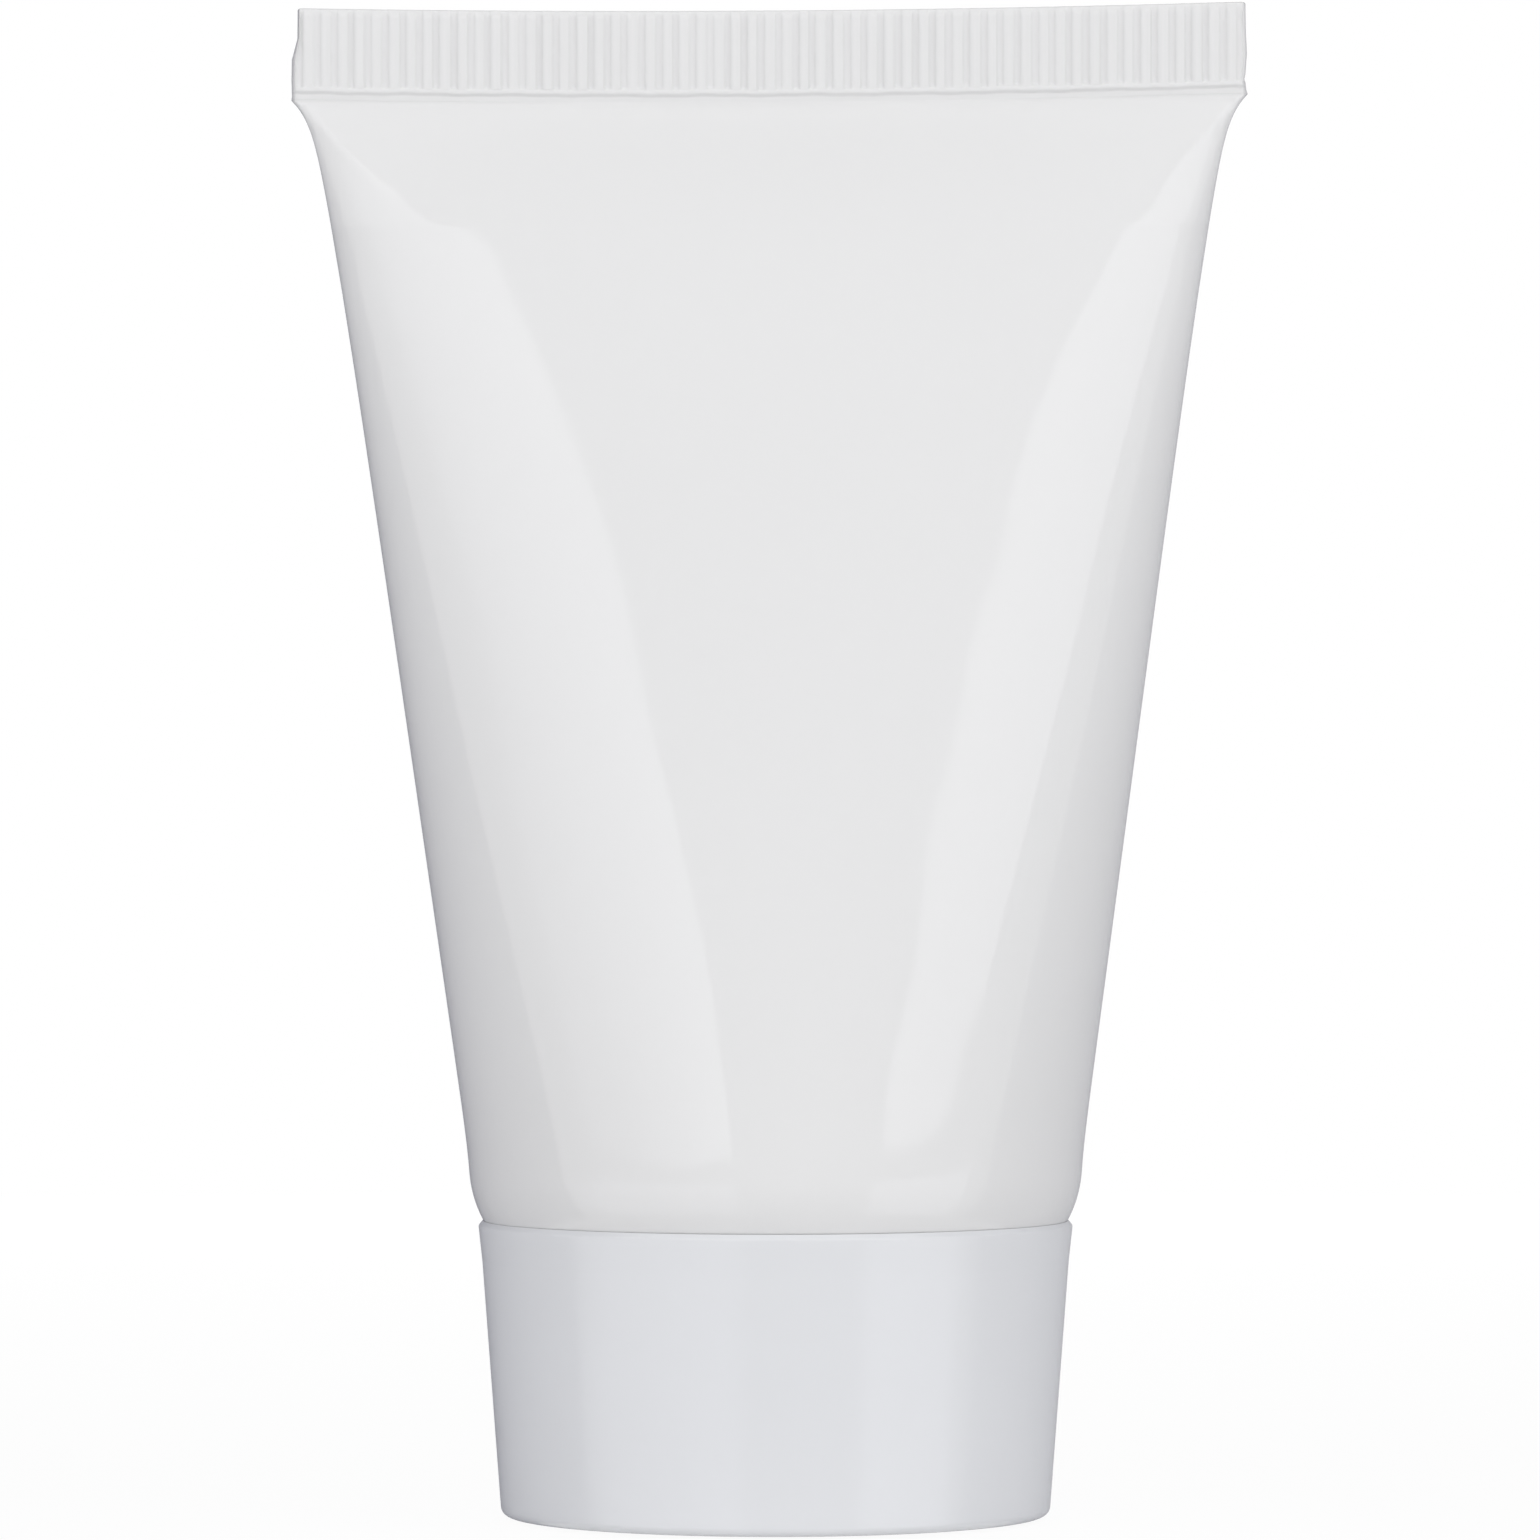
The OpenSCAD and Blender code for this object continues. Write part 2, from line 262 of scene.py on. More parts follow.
def full_rings(x, y, z):
    """Closed rings from quarters: front middle, +X edge, back middle, -X edge. Each input has a row for each
    ring. A quarter has one point more than it gives to the ring, since the next quarter repeats it."""
    count = x.shape[1] - 1
    order = np.concatenate([np.arange(count), np.arange(count, 0, -1)] * 2)
    x_side = np.repeat([1, 1, -1, -1], count)
    y_side = np.repeat([-1, 1, 1, -1], count)
    return np.stack([x[:, order] * x_side, y[:, order] * y_side,
                     np.broadcast_to(z[:, None], (len(z), 4 * count))], axis=2)


def settle(points):
    """Leans the tube along X towards its seal, and tilts and sags the seal, growing with height."""
    up = np.clip((points[..., 2] - BODY_Z) / (SEAL_Z - BODY_Z), 0, 1)
    across = points[..., 0] / SEAL_HALF_W
    settled = points.copy()
    settled[..., 0] += SEAL_LEAN * up
    settled[..., 2] += up ** 2 * (SEAL_TILT * across - SEAL_SAG * (1 - across ** 2))
    return settled


def ring_faces(rows, columns, closed=False):
    """Four-cornered faces between neighbouring rings. They face outwards where the rings rise."""
    last = rows if closed else rows - 1
    row, column = np.meshgrid(np.arange(last), np.arange(columns), indexing="ij")
    next_row = (row + 1) % rows
    next_column = (column + 1) % columns
    return np.stack([row * columns + column, row * columns + next_column,
                     next_row * columns + next_column, next_row * columns + column], axis=-1).reshape(-1, 4)


def strip_faces(first, columns, up):
    """Flat strip that closes a ring from its front half to its back half: two triangles at the ends, and
    four-cornered faces between them."""
    step = np.arange(columns // 2 + 1)
    front = first + (3 * columns // 4 + step) % columns
    back = first + (3 * columns // 4 - step) % columns
    quads = np.stack([front[1:-2], front[2:-1], back[2:-1], back[1:-2]], axis=1)
    ends = np.array([[front[0], front[1], back[1]], [front[-2], front[-1], back[-2]]])
    return (quads, ends) if up else (quads[:, ::-1], ends[:, ::-1])


def fan_faces(pole, first, columns, up):
    """Triangles that close a ring to a point on the axis."""
    ring = first + np.arange(columns)
    fan = np.stack([ring, np.roll(ring, -1), np.full(columns, pole)], axis=1)
    return fan if up else fan[:, ::-1]


def make_piece(name, points, face_groups, material, body, node):
    """Smooth mesh object from points in millimetres and arrays of faces, which takes a node's place."""
    corners = np.concatenate([faces.ravel() for faces in face_groups])
    sizes = np.concatenate([np.full(len(faces), faces.shape[1]) for faces in face_groups])
    mesh = bpy.data.meshes.new(name)
    mesh.vertices.add(len(points))
    mesh.vertices.foreach_set("co", (points * MM).astype(np.float32).ravel())
    mesh.loops.add(len(corners))
    mesh.loops.foreach_set("vertex_index", corners.astype(np.int32))
    mesh.polygons.add(len(sizes))
    mesh.polygons.foreach_set("loop_start", np.concatenate([[0], np.cumsum(sizes)[:-1]]).astype(np.int32))
    mesh.update(calc_edges=True)
    mesh.validate()
    mesh.polygons.foreach_set("use_smooth", np.ones(len(sizes), bool))
    mesh.materials.append(material)
    piece = bpy.data.objects.new(name, mesh)
    bpy.context.scene.collection.objects.link(piece)
    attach(piece, body)
    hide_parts(node)


def lathe_points(profile, ridges=None):
    """A profile of (radius, height) rows carried round the axis. What ridges(angle, height, radius) gives is
    added to the radius."""
    turn = np.arange(ROUND_COLUMNS) * 2 * math.pi / ROUND_COLUMNS
    radius = np.repeat(profile[:, :1], ROUND_COLUMNS, axis=1)
    height = np.repeat(profile[:, 1:2], ROUND_COLUMNS, axis=1)
    if ridges:
        radius = radius + ridges(np.broadcast_to(turn, radius.shape), height, radius)
    return np.stack([radius * np.sin(turn), -radius * np.cos(turn), height], axis=2)


def rounded_profile(corners):
    """Outline through corners (radius from the axis, height, fillet): each corner is replaced by points of an
    arc that is tangent to both of its sides. The first and the last corner stay sharp."""
    rows = [corners[0][:2]]
    for before, corner, after in zip(corners, corners[1:], corners[2:]):
        place = np.array(corner[:2], float)
        back = np.array(before[:2]) - place
        ahead = np.array(after[:2]) - place
        back /= np.linalg.norm(back)
        ahead /= np.linalg.norm(ahead)
        half = math.acos(np.clip(back @ ahead, -1, 1)) / 2
        if corner[2] == 0 or half > math.pi / 2 - 0.001:
            rows.append(place)
            continue
        centre = place + (back + ahead) / np.linalg.norm(back + ahead) * corner[2] / math.sin(half)
        start = place + back * corner[2] / math.tan(half) - centre
        end = place + ahead * corner[2] / math.tan(half) - centre
        sweep = math.acos(np.clip(start @ end / corner[2] ** 2, -1, 1))
        for t in np.linspace(0, 1, ARC_STEPS + 1):
            blend = start * math.sin((1 - t) * sweep) + end * math.sin(t * sweep)
            rows.append(centre + blend / math.sin(sweep))
    rows.append(corners[-1][:2])
    return np.array(rows, float)


def refine(profile, longest):
    """Splits each side of a profile that is longer than the given length into equal shorter ones."""
    rows = [profile[:1]]
    for start, end in zip(profile, profile[1:]):
        pieces = max(1, math.ceil(np.linalg.norm(end - start) / longest))
        shares = np.arange(1, pieces + 1)[:, None] / pieces
        rows.append(start + (end - start) * shares)
    return np.concatenate(rows)


def helix_ridge(angle, height, first_z):
    """Height of a thread ridge, from 0 to 1: a soft trapezoid across a helix that rises one pitch a turn, and
    that fades in and out over a share of a turn at its two ends."""
    lift = np.zeros_like(height)
    for turn in range(math.ceil(THREAD_TURNS)):
        along = angle / (2 * math.pi) + turn
        away = np.abs(height - first_z - THREAD_PITCH * along)
        side = 1 - smooth_step(RIDGE_CREST / 2 - 0.05, RIDGE_ROOT / 2, away)
        fade = smooth_step(0, THREAD_FADE, np.minimum(along, THREAD_TURNS - along))
        lift = np.maximum(lift, side * fade)
    return lift


def slope_z(radius):
    """Height of the underside of the head's slope."""
    return SHOULDER_Z - (CONE_R - min(radius, CONE_R)) * math.tan(HEAD_SLOPE)


def rib_shares():
    """Places along a quarter of the seal, as shares of its half width: the middle of each rib, and the floor
    and the walls of the groove after it."""
    walls = FLOOR_HALF + WALL_W * np.arange(3)
    steps = np.concatenate([[0], RIB_PITCH / 2 + np.concatenate([-walls[::-1], [0], walls])])
    starts = np.arange(RIB_COUNT // 2)[:, None] * RIB_PITCH
    return np.append((starts + steps).ravel(), SEAL_HALF_W) / SEAL_HALF_W


def rib_lift(x, face):
    """Height of the ribs from 0 on a groove's floor to about 1 on a rib. The wall on a groove's -X side is
    half as wide as the other one, each rib differs a little in height, and the last rib at each end is a half
    one."""
    random = np.random.RandomState(SEED)
    gains = 1 + RIB_SPREAD * random.uniform(-1, 1, (2, RIB_COUNT + 1))
    number = np.rint(x / RIB_PITCH).astype(int) + RIB_COUNT // 2
    from_groove = x - (np.floor(x / RIB_PITCH) + 0.5) * RIB_PITCH
    steep = smooth_step(FLOOR_HALF, FLOOR_HALF + WALL_W, -from_groove)
    gentle = smooth_step(FLOOR_HALF, FLOOR_HALF + 2 * WALL_W, from_groove)
    return np.maximum(steep, gentle) * gains[face, number]


def edge_share(place):
    """0 along the seal, and from 0 to 1 over the last half thickness before each of its ends."""
    return np.clip((np.abs(place) - SEAL_HALF_W + HALF_T) / HALF_T, 0, 1)


def lens_form(place):
    """Half thickness of a lens that is as wide as the seal and as thick in its middle: HALF_T times the
    cosine of an angle that grows evenly to a right angle at the seal's end."""
    return HALF_T * np.cos(place / SEAL_HALF_W * math.pi / 2)


def weld_form(place, z, thick):
    """What the welded film adds to the lens: the film is flat, with round ends. It starts softly at
    WELD_REACH under the flat stretch and is whole where the step begins."""
    flat = thick * np.sqrt(1 - edge_share(place) ** 2)
    return (flat - lens_form(place)) * smooth_step(FLAT_Z - WELD_REACH, STEP_LOW, z)


def bulge_sum(z, bulges):
    """Sum of bell curves along the height, each given by its height, its size and its reach."""
    return sum(size * hump(z - height, reach) for height, size, reach in bulges)


def weld_edge(x, z):
    """Shift along X of the welded edge, which stands back a little from the seal's full width: it wanders
    with height, and differs between the two ends."""
    left = bulge_sum(z, LEFT_BULGES) - LEFT_BACK - LEFT_STEP * smooth_step(LEFT_STEP_LOW, LEFT_STEP_HIGH, z)
    right = bulge_sum(z, RIGHT_BULGES) - RIGHT_BACK
    reach = smooth_step(SEAL_HALF_W - 0.6, SEAL_HALF_W, np.abs(x)) * smooth_step(FLAT_Z, SEAL_Z - 0.1, z)
    return np.where(x < 0, -left, right) * reach


def crimp_rows(shares):
    """Rings of the crimped band, from the flat margin to the cut edge. Each face is flat with round ends and
    carries the step, the bead and the ribs. The margin blends from the thin section below into the flat
    band."""
    margin_z = np.linspace(FLAT_Z, RIB_FOOT + 0.2, MARGIN_ROWS)[1:]
    ribbed_z = np.linspace(RIB_FOOT + 0.4, TOTAL_H - 0.55, RIBBED_ROWS)
    top_z = np.linspace(TOTAL_H - 0.4, TOTAL_H - CUT_RADIUS, TOP_ROWS)
    cut = np.radians([30, 60, 90])
    z = np.concatenate([margin_z, ribbed_z, top_z, TOTAL_H - CUT_RADIUS * (1 - np.sin(cut))])
    inset = np.concatenate([np.zeros(len(z) - len(cut)), CUT_RADIUS * (1 - np.cos(cut))])
    x = np.tile(shares * SEAL_HALF_W, (len(z), 1))
    rings = full_rings(x, np.ones_like(x), z)
    place = rings[..., 0]
    side = np.sign(rings[..., 1])
    height = rings[..., 2]
    level = height - 0.02 * np.sin(1.1 * place + side) - 0.015 * np.sin(2.9 * place)
    bead = BEAD_H * hump(np.maximum(level - BEAD_Z, 0), BEAD_REACH)
    top_fade = 1 - CUT_FADE * smooth_step(TOTAL_H - CUT_FADE_REACH, TOTAL_H - CUT_RADIUS, height)
    fade = smooth_step(BEAD_Z, RIB_FOOT, level) * top_fade
    lift = np.where(side < 0, rib_lift(place, 0), rib_lift(place, 1))
    ribs = fade * (RIB_H * lift - GROOVE_SINK)
    flash = FLASH_GROOVE * fade * hump(place + SEAL_HALF_W - FLASH_IN, FLASH_WIDTH)
    step = smooth_step(STEP_LOW, STEP_HIGH, level)
    thick = HALF_T + step * np.maximum(bead, ribs) - flash - inset[:, None]
    rings[..., 1] = side * (lens_form(place) + weld_form(place, height, thick))
    wobble = 0.03 * np.sin(1.7 * place) + 0.02 * np.sin(4.1 * place + 1)
    inside_ends = np.abs(place) < SEAL_HALF_W - RIB_PITCH
    rings[..., 0] += (weld_edge(place, height) + wobble * inside_ends
                      - np.sign(place) * inset[:, None] * edge_share(place))
    return rings


def crease(x, z):
    """Fold that the pinched film throws up under each corner, along a straight line from the corner inwards
    and down: its height falls off as exp(-d / reach) at a distance d from the line, three times as soon on
    the side of the tube's edge, and fades along the line."""
    length = np.linalg.norm(CREASE_FOOT - CREASE_TOP)
    direction = (CREASE_FOOT - CREASE_TOP) / length
    from_x = np.abs(x) - CREASE_TOP[0]
    from_z = z - CREASE_TOP[1]
    along = from_x * direction[0] + from_z * direction[1]
    away = from_x * direction[1] - from_z * direction[0]
    reach = (CREASE_WIDTH + CREASE_SPREAD * np.maximum(0, along)) * np.where(away < 0, 1, 3)
    rounded = np.sqrt(away ** 2 + CREASE_ROUND ** 2) - CREASE_ROUND
    fade = smooth_step(-0.6, 0.8, along) * (1 - smooth_step(0.3 * length, length, along))
    return CREASE_H * np.exp(-rounded / reach) * fade


def unevenness(x, z, side):
    """Slow waves of a few hundredths of a millimetre, as a plastic film has, which fade at the shoulder."""
    waves = (np.sin(0.31 * x + 0.17 * z + side) + np.sin(0.12 * x - 0.29 * z + 2 * side)
             + 0.6 * np.sin(0.55 * x + 0.41 * z + 1.3))
    return WAVE_H * waves * smooth_step(BODY_Z, BODY_Z + WAVE_FADE, z)


def sleeve_piece(material):
    """Thin welded sleeve as one closed wall: down its inside, round its lower edge, up its outside and over
    the crimped seal, which a flat strip closes. The outside's rows lie closer under the seal."""
    shares = rib_shares()
    angle = math.asin(SHOULDER_DROP / SHOULDER_RADIUS)
    shoulder = BODY_Z - SHOULDER_RADIUS * np.sin(angle * (1 - np.arange(SHOULDER_ROWS) / SHOULDER_ROWS))
    fine_z = FLAT_Z - FINE_REACH
    body = BODY_Z + (fine_z - BODY_Z) * np.linspace(0, 1, BODY_ROWS) ** 1.5
    outer_z = np.concatenate([shoulder, body, np.linspace(fine_z, FLAT_Z, FINE_ROWS)[1:]])
    x, y = section_quarters(half_width(outer_z), half_thickness(outer_z), shares)
    outer = full_rings(x, y, outer_z)
    side = np.sign(outer[..., 1])
    bump = crease(outer[..., 0], outer[..., 2]) + unevenness(outer[..., 0], outer[..., 2], side)
    outer[..., 1] += side * bump * smooth_step(0, 0.7, np.abs(outer[..., 1]))
    place = full_rings(np.tile(shares * SEAL_HALF_W, (len(outer_z), 1)), y, outer_z)[..., 0]
    outer[..., 1] += side * weld_form(place, outer[..., 2], HALF_T)
    inner_z = np.concatenate([[CAVITY_TOP], np.linspace(CAVITY_TOP - 3, BODY_Z, 8),
                              shoulder[6:0:-2], shoulder[:1]])
    x, y = section_quarters(half_width(inner_z) - SLEEVE_WALL, half_thickness(inner_z) - SLEEVE_WALL, shares)
    inner = full_rings(x, y, inner_z)
    rings = np.concatenate([inner, outer, crimp_rows(shares)])
    rows, columns = rings.shape[:2]
    last = (rows - 1) * columns
    faces = [ring_faces(rows, columns), *strip_faces(0, columns, False), *strip_faces(last, columns, True)]
    points = settle(rings).reshape(-1, 3)
    make_piece("tube_sleeve", points, faces, material, "tube", "sleeve")


def head_piece(material):
    """Moulded head: a closed profile round the axis, with the thread's ridge on the outside of the neck."""
    top_z = SHOULDER_Z + HEAD_T
    edge_z = np.linspace(SHOULDER_Z, top_z, 5)
    edge_r = base_radius(edge_z) - SLEEVE_WALL - WELD_GAP
    corners = [
        (ORIFICE_R, TIP_Z + 0.3, 0), (ORIFICE_R, TIP_Z, 0.15), (NECK_R - TIP_BEVEL, TIP_Z, 0.2),
        (NECK_R, TIP_Z + TIP_BEVEL, 0.2), (NECK_R, slope_z(NECK_R), 0.3), (CONE_R, SHOULDER_Z, 0.1),
        *[(r, z, 0) for r, z in zip(edge_r, edge_z)],
        (CONE_R, top_z, 0.1), (BORE_R, slope_z(BORE_R) + HEAD_T, 0.4), (BORE_R, TIP_Z + TIP_WALL, 0.2),
        (ORIFICE_R, TIP_Z + TIP_WALL, 0.15), (ORIFICE_R, TIP_Z + 0.35, 0)
    ]

    def ridges(angle, height, radius):
        on_neck = np.abs(radius - NECK_R) < WALL_TOLERANCE
        return THREAD_H * helix_ridge(angle, height, RIDGE_Z) * on_neck

    points = lathe_points(refine(rounded_profile(corners), longest=0.16), ridges)
    faces = [ring_faces(*points.shape[:2], closed=True)]
    make_piece("tube_neck", points.reshape(-1, 3), faces, material, "tube", "tube_head")


def solid_of_rings(name, rings, material, body, node):
    """Closed solid from stacked rings, with its first and last ring closed to a point on the axis."""
    rows, columns = rings.shape[:2]
    poles = np.array([rings[0].mean(axis=0), rings[-1].mean(axis=0)])
    points = np.concatenate([rings.reshape(-1, 3), poles])
    foot = rows * columns
    faces = [ring_faces(rows, columns), fan_faces(foot, 0, columns, False),
             fan_faces(foot + 1, foot - columns, columns, True)]
    make_piece(name, points, faces, material, body, node)


def cap_piece(material):
    """Plain tapered screw cap: outer wall, round foot with a shallow dimple in its middle, lip and collar,
    and inside it the boss with its ridge."""
    boss_top = slope_z(BOSS_R + BOSS_WALL) - BOSS_GAP
    dimple_r = 1.6
    dimple_depth = 0.25
    corners = [
        (HUB_R, dimple_depth, 0), (dimple_r, dimple_depth, 0.15), (dimple_r + 0.3, 0, 0.2),
        (FOOT_R, 0, FOOT_RADIUS), (LIP_R, CAP_H - CAP_LIP_H, 3.0),
        (RIM_R, CAP_H + COLLAR_FOOT, 0.22), (COLLAR_R + COLLAR_W, CAP_H + COLLAR_H, 0.012),
        (COLLAR_R, CAP_H + COLLAR_H, 0.012), (COLLAR_R, CAP_H, 0.05),
        (RIM_R - CAP_WALL, CAP_H, 0.3), (LIP_R - CAP_WALL, CAP_H - CAP_LIP_H, 0.5),
        (FOOT_R - CAP_WALL, CAP_FLOOR, 0.5), (BOSS_R + BOSS_WALL, CAP_FLOOR, 0.3),
        (BOSS_R + BOSS_WALL, boss_top, 0.25), (BOSS_R, boss_top, 0.25),
        (BOSS_R, CAP_FLOOR, 0.1), (HUB_R, CAP_FLOOR, 0)
    ]

    def ridges(angle, height, radius):
        on_boss = np.abs(radius - BOSS_R) < WALL_TOLERANCE
        return -THREAD_H * helix_ridge(angle, height, RIDGE_Z + THREAD_PITCH / 2) * on_boss

    points = lathe_points(refine(rounded_profile(corners), longest=0.3), ridges)
    solid_of_rings("screw_cap", points, material, "cap", "cap")


def liner_piece(material):
    """Soft sealing disc with round edges, and the shallow ring that the tip of the neck presses into it."""
    foot = CAP_FLOOR + SEAT_GAP
    top = foot + LINER_T
    press = 0.08
    inner = ORIFICE_R + 0.2
    outer = NECK_R - TIP_BEVEL
    corners = [
        (HUB_R, foot, 0), (LINER_R, foot, 0.25), (LINER_R, top, 0.3), (outer + 0.1, top, 0.05),
        (outer, top - press, 0.05), (inner, top - press, 0.05), (ORIFICE_R, top, 0.05), (HUB_R, top, 0)
    ]
    points = lathe_points(refine(rounded_profile(corners), longest=0.5))
    solid_of_rings("sealing_disc", points, material, "liner", "cap_liner")


def lotion_piece(material):
    """Lotion in the head and the sleeve: round rings up the outlet and the neck, then the sleeve's own
    sections at FILM_GAP inside the wall, and a softly domed top."""
    shares = np.linspace(0, 1, LOTION_QUARTER + 1)
    dome_h = 0.8
    dome_foot = FILL_Z - dome_h
    dome_turn = np.linspace(0, 1, 6)[1:] * math.pi / 2
    rim_share = 0.1
    stem_r = ORIFICE_R - FILM_GAP
    column_r = BORE_R - FILM_GAP
    foot = TIP_Z + FILM_GAP
    top_z = SHOULDER_Z + HEAD_T + FILM_GAP
    corners = [
        (HUB_R, foot - 0.08, 0), (stem_r * 0.7, foot - 0.05, 0.3), (stem_r, foot + 0.1, 0.1),
        (stem_r, TIP_Z + TIP_WALL + FILM_GAP, 0.1), (column_r, TIP_Z + TIP_WALL + FILM_GAP, 0.3),
        (column_r, slope_z(BORE_R) + HEAD_T + FILM_GAP, 0.3), (CONE_R, top_z, 0)
    ]
    profile = refine(rounded_profile(corners), longest=0.6)
    turn = shares * math.pi / 2
    stem = full_rings(profile[:, :1] * np.sin(turn), profile[:, :1] * np.cos(turn), profile[:, 1])
    side_z = np.concatenate([[top_z], np.linspace(top_z + 0.3, BODY_Z, 6),
                             np.linspace(BODY_Z + 2, dome_foot, 22)])
    shrink = np.concatenate([np.ones(len(side_z)), np.cos(dome_turn) * (1 - rim_share) + rim_share])
    z = np.concatenate([side_z, dome_foot + dome_h * np.sin(dome_turn)])
    wall_z = np.minimum(z, dome_foot)
    a = (half_width(wall_z) - SLEEVE_WALL - FILM_GAP) * shrink
    b = (half_thickness(wall_z) - SLEEVE_WALL - FILM_GAP) * shrink
    x, y = section_quarters(a, b, shares)
    rings = np.concatenate([stem, settle(full_rings(x, y, z))])
    solid_of_rings("lotion_fill", rings, material, "tube", "lotion")


def slot_colour(slot):
    """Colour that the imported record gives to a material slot."""
    for material in frame["record"]["materials"]:
        if material["slot"] == slot:
            return material["base_color"]
    raise ValueError("the record has no slot named " + slot)


def moulded_material(name, slot, roughness, mottle, peel_mm, peel_height, wear_mm, tint=(1, 1, 1)):
    """Plastic finish on Object coordinates: two noises make its colour and gloss uneven, and a third one
    gives the fine orange peel of its skin. Sizes are in millimetres, and tint is multiplied into the slot's
    colour."""
    material = bpy.data.materials.new(name)
    material.use_nodes = True
    nodes, links = material.node_tree.nodes, material.node_tree.links
    shader = nodes["Principled BSDF"]
    place = nodes.new("ShaderNodeTexCoord")

    def noise(size_mm, detail):
        node = nodes.new("ShaderNodeTexNoise")
        node.inputs["Scale"].default_value = 1 / (size_mm * MM)
        node.inputs["Detail"].default_value = detail
        links.new(place.outputs["Object"], node.inputs["Vector"])
        return node.outputs["Fac"]

    colour = nodes.new("ShaderNodeValToRGB")
    base = np.array(slot_colour(slot)) * tint
    colour.color_ramp.elements[0].position = 0.3
    colour.color_ramp.elements[0].color = (*(base * (1 - mottle)), 1)
    colour.color_ramp.elements[1].position = 0.7
    colour.color_ramp.elements[1].color = (*np.minimum(1, base * (1 + mottle)), 1)
    links.new(noise(wear_mm, 1), colour.inputs["Fac"])
    links.new(colour.outputs["Color"], shader.inputs["Base Color"])

    gloss = nodes.new("ShaderNodeMapRange")
    gloss.inputs["From Min"].default_value = 0.3
    gloss.inputs["From Max"].default_value = 0.7
    gloss.inputs["To Min"].default_value = roughness * 0.85
    gloss.inputs["To Max"].default_value = roughness * 1.15
    links.new(noise(wear_mm * 0.4, 4), gloss.inputs["Value"])
    links.new(gloss.outputs["Result"], shader.inputs["Roughness"])

    bump = nodes.new("ShaderNodeBump")
    bump.inputs["Strength"].default_value = 1
    bump.inputs["Distance"].default_value = peel_height * MM
    links.new(noise(peel_mm, 2), bump.inputs["Height"])
    links.new(bump.outputs["Normal"], shader.inputs["Normal"])
    shader.inputs["IOR"].default_value = 1.5
    return material


def set_camera():
    """Camera at the photograph's viewing angle: level, half a metre in front, with a long lens."""
    data = bpy.data.cameras.new("camera")
    data.sensor_width = 36
    data.lens = 210.2
    camera = bpy.data.objects.new("camera", data)
    camera.location = (-0.00032, -0.517, 0.0428)
    camera.rotation_euler = (math.pi / 2, 0, 0)
    bpy.context.scene.collection.objects.link(camera)
    bpy.context.scene.camera = camera


def glowing_sheet(name, corners, faces, colour, sampled, glow=1):
    """Flat or bent sheet that shines in a colour times the glow of each of its corners. The camera doesn't
    see it, and it isn't part of the tube. A sheet that isn't sampled lights only what mirrors it or scatters
    towards it by chance."""
    mesh = bpy.data.meshes.new(name)
    mesh.from_pydata(np.asarray(corners).tolist(), [], faces)
    levels = mesh.attributes.new("glow", "FLOAT", "POINT")
    levels.data.foreach_set("value", np.broadcast_to(glow, len(corners)).astype(np.float32))
    material = bpy.data.materials.new(name)
    material.use_nodes = True
    if not sampled:
        material.cycles.emission_sampling = "NONE"
    nodes, links = material.node_tree.nodes, material.node_tree.links
    level = nodes.new("ShaderNodeAttribute")
    level.attribute_name = "glow"
    shine = nodes.new("ShaderNodeEmission")
    shine.inputs["Color"].default_value = (*colour, 1)
    links.new(level.outputs["Fac"], shine.inputs["Strength"])
    links.new(shine.outputs["Emission"], nodes["Material Output"].inputs["Surface"])
    mesh.materials.append(material)
    sheet = bpy.data.objects.new(name, mesh)
    sheet.visible_camera = False
    bpy.context.scene.collection.objects.link(sheet)


def curtain_faces(count):
    """Four-cornered faces between two rows of points, the second of which follows the first one."""
    return [(i, i + 1, i + count + 1, i + count) for i in range(count - 1)]


def softbox(name, columns, colour, sampled=True):
    """Glowing panel on an upright arc round the tube. Each given column is an azimuth to the left of the
    camera's direction, a low and a high elevation, in degrees and seen from a point on the axis at the height
    of the shoulder, and a glow. Between the given columns they change evenly."""
    distance = 0.8
    count = 64
    given = np.array(columns, float).T
    turns = np.linspace(given[0, 0], given[0, -1], count)
    low, high, glow = (np.interp(turns, given[0], row) for row in given[1:])
    turns = np.tile(np.radians(turns), 2)
    height = np.tan(np.radians(np.concatenate([low, high])))
    corners = np.stack([-np.sin(turns), -np.cos(turns), height], axis=1) * distance + [0, 0, BODY_Z * MM]
    glowing_sheet(name, corners, curtain_faces(count), colour, sampled, np.tile(glow, 2))


def grey_card(name, start, end, colour):
    """Upright card on an arc round the back of the tube, from one azimuth to another, in degrees. It shines
    less than the surroundings that it hides, so the tube's sides mirror it as darker edges."""
    count = 25
    turns = np.radians(np.linspace(start, end, count))
    low = np.stack([-CARD_R * np.sin(turns), -CARD_R * np.cos(turns), np.full(count, CARD_LOW)], axis=1)
    corners = np.concatenate([low, low + [0, 0, CARD_HIGH - CARD_LOW]])
    glowing_sheet(name, corners, curtain_faces(count), colour, False)


def ceiling_card(colour):
    """Level half-round card that closes the grey cards at the top, behind the tube."""
    count = 24
    turns = np.linspace(-math.pi / 2, math.pi / 2, count)
    corners = np.stack([CARD_R * np.sin(turns), CARD_R * np.cos(turns), np.full(count, CARD_HIGH)], axis=1)
    glowing_sheet("ceiling_card", corners, [tuple(range(count))], colour, False)


def rear_lamp(power):
    """Soft lamp behind the tube, which lights its back and isn't mirrored by it."""
    data = bpy.data.lights.new("rear_lamp", "AREA")
    data.shape = "RECTANGLE"
    data.size = 0.24
    data.size_y = 0.12
    data.energy = power
    lamp = bpy.data.objects.new("rear_lamp", data)
    lamp.location = (0, 0.44, 0.06)
    lamp.rotation_euler = (-math.pi / 2, 0, 0)
    lamp.visible_camera = False
    lamp.visible_glossy = False
    bpy.context.scene.collection.objects.link(lamp)


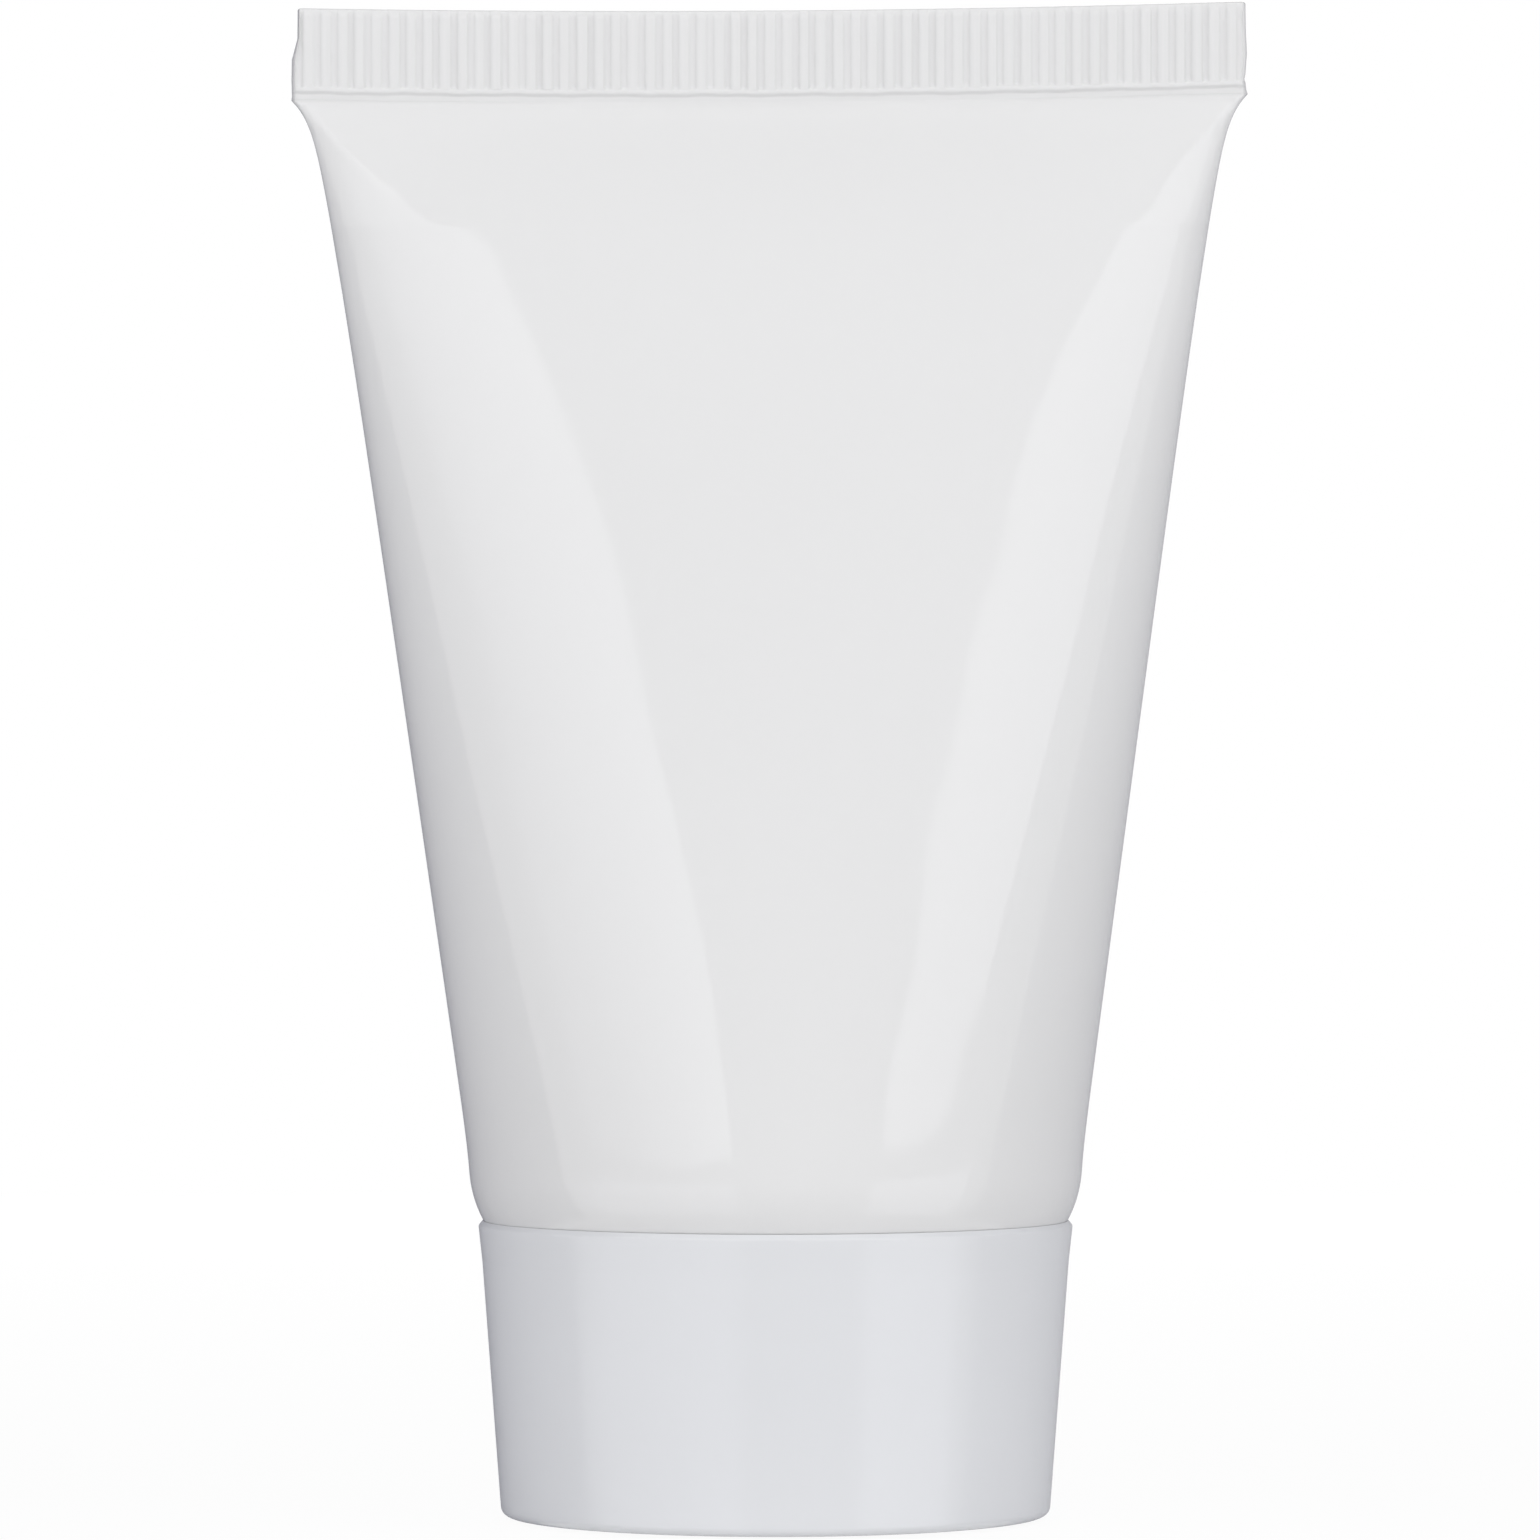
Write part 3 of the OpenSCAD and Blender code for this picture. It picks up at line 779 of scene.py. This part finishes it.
def light_mask(nodes, links):
    """1 for rays from the camera and for mirrored and transmitted ones, and 0 for all others."""
    path = nodes.new("ShaderNodeLightPath")
    total = path.outputs["Is Camera Ray"]
    for ray in ("Is Glossy Ray", "Is Transmission Ray"):
        add = nodes.new("ShaderNodeMath")
        add.operation = "MAXIMUM"
        links.new(total, add.inputs[0])
        links.new(path.outputs[ray], add.inputs[1])
        total = add.outputs[0]
    return total


def set_world(level):
    """Surroundings that are plain white where they are seen or mirrored, and that light at a given level."""
    world = bpy.data.worlds.new("white_room")
    world.use_nodes = True
    nodes, links = world.node_tree.nodes, world.node_tree.links
    strength = nodes.new("ShaderNodeMapRange")
    strength.inputs["To Min"].default_value = level
    strength.inputs["To Max"].default_value = 1
    links.new(light_mask(nodes, links), strength.inputs["Value"])
    background = nodes["Background"]
    background.inputs["Color"].default_value = (1, 1, 1, 1)
    links.new(strength.outputs["Result"], background.inputs["Strength"])
    bpy.context.scene.world = world


def set_floor():
    """Plain pale floor. Most of what the camera sees of it is plain white, and the rest keeps the shadow,
    which fades out with the distance from the tube."""
    half = 6.0
    corners = [(-half, -half, 0), (half, -half, 0), (half, half, 0), (-half, half, 0)]
    mesh = bpy.data.meshes.new("floor")
    mesh.from_pydata(corners, [], [(0, 1, 2, 3)])
    material = bpy.data.materials.new("pale_floor")
    material.use_nodes = True
    nodes, links = material.node_tree.nodes, material.node_tree.links
    matte = nodes.new("ShaderNodeBsdfDiffuse")
    matte.inputs["Color"].default_value = (0.9, 0.9, 0.9, 1)
    white = nodes.new("ShaderNodeEmission")
    white.inputs["Color"].default_value = (1, 1, 1, 1)
    place = nodes.new("ShaderNodeTexCoord")
    distance = nodes.new("ShaderNodeVectorMath")
    distance.operation = "LENGTH"
    links.new(place.outputs["Object"], distance.inputs[0])
    whiteness = nodes.new("ShaderNodeMapRange")
    whiteness.inputs["From Min"].default_value = 0.05
    whiteness.inputs["From Max"].default_value = 0.4
    whiteness.inputs["To Min"].default_value = 0.95
    links.new(distance.outputs["Value"], whiteness.inputs["Value"])
    share = nodes.new("ShaderNodeMath")
    share.operation = "MULTIPLY"
    links.new(light_mask(nodes, links), share.inputs[0])
    links.new(whiteness.outputs["Result"], share.inputs[1])
    mix = nodes.new("ShaderNodeMixShader")
    links.new(share.outputs["Value"], mix.inputs["Fac"])
    links.new(matte.outputs["BSDF"], mix.inputs[1])
    links.new(white.outputs["Emission"], mix.inputs[2])
    links.new(mix.outputs["Shader"], nodes["Material Output"].inputs["Surface"])
    mesh.materials.append(material)
    floor = bpy.data.objects.new("floor", mesh)
    floor.location.z = -0.0002
    floor.visible_glossy = False
    bpy.context.scene.collection.objects.link(floor)


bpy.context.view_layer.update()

sleeve_film = moulded_material("white_film", "sleeve_plastic", roughness=0.06, mottle=0.003,
                               peel_mm=0.9, peel_height=0.001, wear_mm=20)
neck_plastic = moulded_material("satin_moulding", "head_plastic", roughness=0.42, mottle=0.015,
                                peel_mm=0.5, peel_height=0.004, wear_mm=6)
cap_plastic = moulded_material("cool_cap_plastic", "cap_plastic", roughness=0.14, mottle=0.004,
                               peel_mm=0.7, peel_height=0.0012, wear_mm=12, tint=(1.02, 1.02, 1.034))
foam = moulded_material("foamed_disc", "liner_foam", roughness=0.75, mottle=0.04,
                        peel_mm=0.12, peel_height=0.02, wear_mm=1.5)
cream = moulded_material("wet_lotion", "lotion", roughness=0.16, mottle=0.02,
                         peel_mm=3, peel_height=0.05, wear_mm=8)

sleeve_piece(sleeve_film)
head_piece(neck_plastic)
cap_piece(cap_plastic)
liner_piece(foam)
lotion_piece(cream)

set_camera()
set_world(level=0.845)
set_floor()
softbox("left_softbox", [
    (14.7, 12.4, 18, 1.45), (18.5, 11.6, 23, 1.4), (18.8, 11.5, 42, 1.4), (30, 8.5, 42, 1.2),
    (54, 4.2, 42, 0.9), (55, 4, 11, 0.9), (59.5, 3, 8, 0.9), (65, 1.8, 4.7, 0.9), (68, 1.4, 2, 0.9)
], colour=(1.49, 1.49, 1.51))
softbox("right_softbox", [
    (-63, 4.7, 40, 1), (-53.5, 6.1, 40, 1), (-38, 9.5, 40, 1), (-36, 12.5, 40, 1), (-31, 18.4, 36, 1),
    (-27.8, 21.6, 30, 1), (-27, 23, 28, 1)
], colour=(2.1, 2.1, 2.12))
softbox("left_low_softbox", [
    (14, -32, 5, 1), (67, -32, -1, 1), (76, -26, -4, 0.85), (84, -22, -5, 0.6)
], colour=(1.55, 1.55, 1.6), sampled=False)
softbox("right_low_softbox", [
    (-75, -32, -0.4, 1), (-35, -32, 4, 1)
], colour=(1.75, 1.75, 1.8), sampled=False)
ceiling_card(colour=(0.25, 0.25, 0.25))
rear_lamp(power=1.1)
grey_card("left_card", start=84, end=180, colour=(0.24, 0.24, 0.28))
grey_card("right_card", start=-84, end=-180, colour=(0.42, 0.42, 0.45))

bpy.context.scene.view_settings.view_transform = "Standard"
